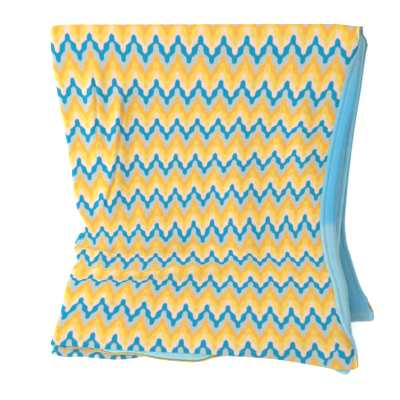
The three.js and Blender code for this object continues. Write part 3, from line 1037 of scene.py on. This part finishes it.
def plush_material(colours):
    """Short dense plush whose colour changes with the lie of its nap, with painted light and painted shade in
    places.
    """
    paint = Paint("light blue plush")
    place = paint.object_place()
    across_cloth, down_cloth = paint.uv("Cloth")
    drift = paint.noise(place, 30.0, 2.0) - 0.5

    # The nap is stroked flat on the lower part of the turned margin, and stands up on the rest
    stroked = (down_cloth + drift * 0.012).step(0.230, 0.240)
    lay = paint.mix(stroked, rgba(colours.plush), rgba(colours.plush_pale))

    # Painted light: the inner front layer, which lies in the shade under the top layer's hem, is lightened,
    # less so away from the left fold
    inner = down_cloth.step(0.0, 0.02) * (1 - across_cloth.step(-0.02, 0.02))
    inner = inner * (0.4 + 0.6 * across_cloth.step(-0.14, -0.1))
    lay = paint.mix(inner, lay, rgba(colours.plush_rim_and_painted_light))

    # Painted shade darkens the back half, but not along its right edge, where painted light lightens a narrow
    # strip. It is paler along the hem on its right part
    on_back = 1 - down_cloth.step(-0.02, 0.0)
    back_shade = on_back * (1 - (across_cloth + drift * 0.01).step(0.318, 0.332))
    lay = paint.mix(on_back * across_cloth.step(0.326, 0.338) * 0.14, lay, rgba(colours.plush_rim_and_painted_light))
    lay = paint.mix(back_shade, lay, rgba(colours.plush_shade_and_mottling))
    pale_by_hem = on_back * (1 - down_cloth.step(-0.408, -0.400)) * across_cloth.step(0.2, 0.24)
    lay = paint.mix(pale_by_hem * 0.85, lay, rgba(colours.plush_pale))

    # The sewn rim is a little lighter, and painted shade greys the turned margin where it runs over the top
    # fold
    edge = (across_cloth.size() - HALF_WIDTH * MM).size().step(0.004, 0.008)
    hem = (down_cloth.size() - HALF_LENGTH * MM).size().step(0.007, 0.011)
    rim = (1 - edge * hem) * 0.12
    lay = paint.mix(rim, lay, rgba(colours.plush_rim_and_painted_light))
    fold_shade = (1 - down_cloth.size().step(0.015, 0.085)) * across_cloth.step(0.3, 0.33)
    lay = paint.mix(fold_shade * 0.9, lay, rgba(colours.plush_fold_shade))

    patch = paint.noise(place, 120.0, 3.0, 0.6).step(0.35, 0.65)
    mottled = paint.mix(patch * 0.10, lay, rgba(colours.plush_shade_and_mottling))
    pile = paint.noise(place, 1700.0, 2.0, 0.65)
    tips = pile.step(0.45, 0.75)
    tipped = paint.mix(tips * 0.10, mottled, (0.75, 0.9, 0.95, 1))
    clumps = paint.bump(paint.noise(place, 420.0, 3.0, 0.6).socket, 0.5, 0.0016)
    napped = paint.bump(pile.socket, 0.6, 0.0008, clumps)
    return paint.finish(
        {
            "Base Color": tipped,
            "Roughness": 0.96 - patch * 0.05,
            "Normal": napped,
            "Sheen Weight": 0.25,
            "Sheen Roughness": 0.45,
            "Specular IOR Level": 0.15,
        }
    )


def thread_material(name, colour):
    """Matte spun sewing thread with a fine twist."""
    paint = Paint(name)
    place = paint.object_place()
    twist = paint.noise(place, 2400.0, 1.0)
    tinted = paint.mix(twist * 0.25, rgba(colour), rgba([0.6 * part for part in colour]))
    dented = paint.bump(twist.socket, 0.3, 0.0002)
    return paint.finish({"Base Color": tinted, "Roughness": 0.7 + twist * 0.1, "Normal": dented})


def floor_material():
    """Plain matte white surface, lit a little from within, as a light table is."""
    paint = Paint("plain white surface")
    grain = paint.noise(paint.object_place(), 60.0, 2.0)
    white = paint.mix(grain * 0.02, (0.97, 0.97, 0.97, 1), (0.95, 0.95, 0.95, 1))
    return paint.finish(
        {
            "Base Color": white,
            "Roughness": 0.9,
            "Specular IOR Level": 0.1,
            "Emission Color": (1, 1, 1, 1),
            "Emission Strength": 0.42,
        }
    )


def stitch_tree(material):
    """Nodes that set a stitch every few millimetres along a line."""
    tree = bpy.data.node_groups.new("Topstitching along a line", "GeometryNodeTree")
    face = tree.interface
    face.new_socket("Line", in_out="INPUT", socket_type="NodeSocketGeometry")
    inputs = {}
    for name, default in (("Stitch length", 0.0028), ("Gap", 0.0006), ("Thread width", 0.0008)):
        socket = face.new_socket(name, in_out="INPUT", socket_type="NodeSocketFloat")
        socket.subtype = "DISTANCE"
        socket.default_value = default
        inputs[name] = socket.identifier
    seed = face.new_socket("Seed", in_out="INPUT", socket_type="NodeSocketInt")
    seed.default_value = 7
    face.new_socket("Stitches", in_out="OUTPUT", socket_type="NodeSocketGeometry")

    def node(kind, settings=None, sockets=None):
        return add_node(tree, kind, settings, sockets)

    start = node("NodeGroupInput")
    line = node("GeometryNodeMeshToCurve", sockets={"Mesh": start.outputs["Line"]})
    pitch = node(
        "ShaderNodeMath", {"operation": "ADD"}, {0: start.outputs["Stitch length"], 1: start.outputs["Gap"]}
    )
    points = node(
        "GeometryNodeCurveToPoints",
        {"mode": "LENGTH"},
        {"Curve": line.outputs[0], "Length": pitch.outputs[0]},
    )
    bead = node("GeometryNodeMeshUVSphere", sockets={"Segments": 6, "Rings": 5, "Radius": 0.5})
    sizes = node(
        "ShaderNodeCombineXYZ",
        sockets={
            "X": start.outputs["Thread width"],
            "Y": start.outputs["Thread width"],
            "Z": start.outputs["Stitch length"],
        },
    )
    sockets = {"Geometry": bead.outputs["Mesh"], "Scale": sizes.outputs[0]}
    shaped = node("GeometryNodeTransform", sockets=sockets)
    jitter = node(
        "FunctionNodeRandomValue",
        {"data_type": "FLOAT_VECTOR"},
        {"Min": (-0.06, -0.06, 0.0), "Max": (0.06, 0.06, 0.0), "Seed": start.outputs["Seed"]},
    )
    turned = node(
        "FunctionNodeRotateRotation",
        {"rotation_space": "LOCAL"},
        {"Rotation": points.outputs["Rotation"], "Rotate By": jitter.outputs[0]},
    )
    placed = node(
        "GeometryNodeInstanceOnPoints",
        sockets={
            "Points": points.outputs["Points"],
            "Instance": shaped.outputs[0],
            "Rotation": turned.outputs[0],
        },
    )
    real = node("GeometryNodeRealizeInstances", sockets={"Geometry": placed.outputs[0]})
    smooth_shade = node("GeometryNodeSetShadeSmooth", sockets={"Geometry": real.outputs[0]})
    finish = node(
        "GeometryNodeSetMaterial", sockets={"Geometry": smooth_shade.outputs[0], "Material": material}
    )
    end = node("NodeGroupOutput")
    tree.links.new(finish.outputs[0], end.inputs[0])
    return tree, inputs


def seam_line(inset):
    """Stations of the seam round the whole cloth, at a distance in from its edge."""
    half_u, half_s, radius = HALF_WIDTH - inset, HALF_LENGTH - inset, max(CORNER_RADIUS - 2, 1)
    places = []
    for centre_u, centre_s, start in (
        (half_u - radius, half_s - radius, 0),
        (-half_u + radius, half_s - radius, 90),
        (-half_u + radius, -half_s + radius, 180),
        (half_u - radius, -half_s + radius, 270),
    ):
        for degrees in np.linspace(start, start + 90, 7):
            angle = math.radians(degrees)
            places.append((centre_u + radius * math.cos(angle), centre_s + radius * math.sin(angle)))
    places.append(places[0])
    dense = []
    for (u0, s0), (u1, s1) in zip(places, places[1:]):
        count = max(1, math.ceil(math.dist((u0, s0), (u1, s1)) / 1.6))
        for i in range(count):
            dense.append((mix(u0, u1, i / count), mix(s0, s1, i / count)))
    return np.array(dense)


def line_object(name, points):
    """A closed line of edges through a set of points, in metres."""
    count = len(points)
    mesh = bpy.data.meshes.new(name)
    mesh.from_pydata(points.tolist(), [(i, (i + 1) % count) for i in range(count)], [])
    piece = bpy.data.objects.new(name, mesh)
    bpy.context.scene.collection.objects.link(piece)
    return piece


def length_property(name, description, default):
    return bpy.props.FloatProperty(name=name, description=description, default=default, unit="LENGTH")


class BlanketSizes(bpy.types.PropertyGroup):
    """Sizes that can be changed without refolding the cloth."""

    top_grid: length_property("Grid", "Size of the mesh's cells on the top layer", 0.0034)
    crease_grid: length_property("Crease grid", "Size of the cells where the creases are", 0.0015)
    stitch_length: length_property("Stitch", "Length of one topstitch", 0.0028)
    stitch_gap: length_property("Stitch gap", "Space between two topstitches", 0.0006)
    thread_width: length_property("Thread", "Width of the sewing thread", 0.0006)
    stitch_inset: length_property("Seam inset", "Distance of the topstitching from the edge", 0.006)


def colour_property(name, description, default):
    return bpy.props.FloatVectorProperty(
        name=name, description=description, default=default, subtype="COLOR", size=3, min=0, max=1
    )


class BlanketColours(bpy.types.PropertyGroup):
    """Colours of the print, the plush and the thread."""

    blue: colour_property("Print blue", "The zigzag's darkest band", (0.0012, 0.295, 0.495))
    aqua: colour_property("Print aqua", "The pale grey band below the blue", (0.475, 0.545, 0.51))
    orange: colour_property("Print orange", "The warm band below the aqua", (0.87, 0.435, 0.058))
    yellow: colour_property("Print yellow", "The light band below the orange", (0.86, 0.60, 0.115))
    peach: colour_property("Print peach", "The palest band, above the blue", (0.82, 0.625, 0.50))
    plush: colour_property("Plush", "The plush where its nap stands up", (0.085, 0.42, 0.64))
    plush_pale: colour_property("Pale plush", "The plush where its nap is stroked flat", (0.26, 0.51, 0.59))
    # Pale plush for the lighter sewn rim, also laid as painted light on the shaded inner front layer and along
    # the back half's right edge
    plush_rim_and_painted_light: colour_property("Light plush", "Pale plush for the sewn rim, and painted light on shaded places", (0.5, 0.94, 1.0))
    # Grey plush, laid as painted shade on the turned margin where it runs over the top fold
    plush_fold_shade: colour_property("Grey plush", "Painted shade on the turned margin over the top fold", (0.21, 0.35, 0.37))
    # Darker plush, laid as painted shade over the back half and also used for random mottling of the nap
    plush_shade_and_mottling: colour_property("Deep plush", "Painted shade on the back half, and random mottling", (0.05, 0.27, 0.45))
    thread: colour_property("Plush side thread", "The topstitching's thread on the plush", (0.3, 0.58, 0.72))
    thread_print: colour_property("Print side thread", "The thread on the print", (0.45, 0.50, 0.38))


class BlanketStage(bpy.types.PropertyGroup):
    """Where the camera and the light are."""

    camera_height: length_property("Camera height", "Height of the camera over the surface", 2.02)
    lens: bpy.props.FloatProperty(
        name="Lens", description="Focal length in millimetres", default=150, subtype="DISTANCE_CAMERA"
    )
    light_power: bpy.props.FloatProperty(
        name="Light", description="Power of the large soft light", default=45, unit="POWER"
    )
    sky: bpy.props.FloatProperty(name="Sky", description="Strength of the even light all round", default=0.74)


class StageOperator(bpy.types.Operator):
    """Makes the camera, the soft light and the plain surface"""

    bl_idname = "blanket.stage"
    bl_label = "Set the stage"

    def execute(self, context):
        stage = context.scene.blanket_stage
        scene = context.scene
        scene.view_settings.view_transform = "Standard"

        camera = bpy.data.objects.new("camera", bpy.data.cameras.new("camera"))
        camera.data.lens = stage.lens
        camera.data.sensor_width = 36
        camera.location = (-0.01464, -0.0042, stage.camera_height)
        scene.collection.objects.link(camera)
        scene.camera = camera

        lamp = bpy.data.lights.new("window light", "AREA")
        lamp.shape = "DISK"
        lamp.size = 1.3
        lamp.energy = stage.light_power
        window = bpy.data.objects.new("window light", lamp)
        window.location = (-1.75, 0.3, 1.55)
        aim = Vector((0, 0, 0)) - window.location
        window.rotation_euler = aim.to_track_quat("-Z", "Y").to_euler()
        scene.collection.objects.link(window)

        world = bpy.data.worlds.new("even light")
        world.use_nodes = True
        world.node_tree.nodes["Background"].inputs["Color"].default_value = (1, 1, 1, 1)
        world.node_tree.nodes["Background"].inputs["Strength"].default_value = stage.sky
        scene.world = world

        mesh = bpy.data.meshes.new("surface")
        size = 6
        mesh.from_pydata(
            [(-size, -size, 0), (size, -size, 0), (size, size, 0), (-size, size, 0)], [], [(0, 1, 2, 3)]
        )
        mesh.materials.append(floor_material())
        floor = bpy.data.objects.new("surface", mesh)
        scene.collection.objects.link(floor)
        return {"FINISHED"}


class PrintOperator(bpy.types.Operator):
    """Makes the printed cotton on the folds of its solid"""

    bl_idname = "blanket.printed_cotton"
    bl_label = "Printed cotton"

    def execute(self, context):
        sizes = context.scene.blanket_sizes
        u, s = cloth_grid(sizes.top_grid / MM, sizes.crease_grid / MM, 2.0, 9.0)
        piece = ply_mesh("printed_cotton_panel", u, s, 1, PRINT_THICKNESS, "print")
        piece.data.materials.append(cotton_material(context.scene.blanket_colours))
        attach(piece, "root")
        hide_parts("print_panel")
        return {"FINISHED"}


class PlushOperator(bpy.types.Operator):
    """Makes the plush backing on the folds of its solid"""

    bl_idname = "blanket.plush_backing"
    bl_label = "Plush backing"

    def execute(self, context):
        sizes = context.scene.blanket_sizes
        u, s = cloth_grid(1.7 * sizes.top_grid / MM, 1.7 * sizes.crease_grid / MM, 1.0, 8.0)
        piece = ply_mesh("blue_plush_panel", u, s, -1, PLUSH_THICKNESS, "plush")
        piece.data.materials.append(plush_material(context.scene.blanket_colours))
        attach(piece, "root")
        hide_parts("plush_backing")
        return {"FINISHED"}


class StitchOperator(bpy.types.Operator):
    """Sews the topstitching round the edge, on both faces"""

    bl_idname = "blanket.topstitching"
    bl_label = "Topstitching"

    def execute(self, context):
        sizes = context.scene.blanket_sizes
        inset = sizes.stitch_inset / MM
        seam = seam_line(inset)
        u, s = seam[:, 0], seam[:, 1]
        colours = context.scene.blanket_colours
        for name, side, thickness, column, colour, width_share in (
            ("topstitching_print_side", 1, PRINT_THICKNESS, "print", colours.thread_print, 0.45),
            ("topstitching_plush_side", -1, PLUSH_THICKNESS, "plush", colours.thread, 1),
        ):
            kept = thickness * float(along(EDGE, "inset", column, np.array(inset)))
            lay = rolled_surface if side > 0 else surface
            places = lay(u, s, np.full(u.shape, side * (PLY_GAP / 2 + kept)))
            line = line_object("topstitch_line", places * MM)
            tree, inputs = stitch_tree(thread_material(name.replace("_", " "), colour))
            sewing = line.modifiers.new("Topstitching", "NODES")
            sewing.node_group = tree
            sewing[inputs["Stitch length"]] = sizes.stitch_length
            sewing[inputs["Gap"]] = sizes.stitch_gap
            sewing[inputs["Thread width"]] = sizes.thread_width * width_share
            evaluated = line.evaluated_get(context.evaluated_depsgraph_get())
            mesh = bpy.data.meshes.new_from_object(evaluated)
            if not mesh.polygons:
                raise RuntimeError("the topstitching came out empty")
            line.modifiers.remove(sewing)
            piece = bpy.data.objects.new(name, mesh)
            context.scene.collection.objects.link(piece)
            bpy.data.objects.remove(line)
            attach(piece, "root")
        return {"FINISHED"}


OPERATORS = (StageOperator, PrintOperator, PlushOperator, StitchOperator)


class BlanketPanel(bpy.types.Panel):
    """Sizes, colours and pieces of the blanket"""

    bl_idname = "VIEW3D_PT_blanket"
    bl_label = "Folded blanket"
    bl_space_type = "VIEW_3D"
    bl_region_type = "UI"
    bl_category = "Blanket"

    def draw(self, context):
        scene = context.scene
        for group in (scene.blanket_sizes, scene.blanket_colours, scene.blanket_stage):
            box = self.layout.box()
            for name in group.bl_rna.properties.keys():
                if name not in ("rna_type", "name"):
                    box.prop(group, name)
        for operator in OPERATORS:
            self.layout.operator(operator.bl_idname)


GROUPS = {"blanket_sizes": BlanketSizes, "blanket_colours": BlanketColours, "blanket_stage": BlanketStage}


def register():
    for cls in (*GROUPS.values(), *OPERATORS, BlanketPanel):
        bpy.utils.register_class(cls)
    for name, group in GROUPS.items():
        setattr(bpy.types.Scene, name, bpy.props.PointerProperty(type=group))


def unregister():
    for name in GROUPS:
        delattr(bpy.types.Scene, name)
    for cls in reversed((*GROUPS.values(), *OPERATORS, BlanketPanel)):
        bpy.utils.unregister_class(cls)


def main():
    register()
    bpy.ops.blanket.stage()
    bpy.ops.blanket.printed_cotton()
    bpy.ops.blanket.plush_backing()
    bpy.ops.blanket.topstitching()


if __name__ == "__main__":
    main()
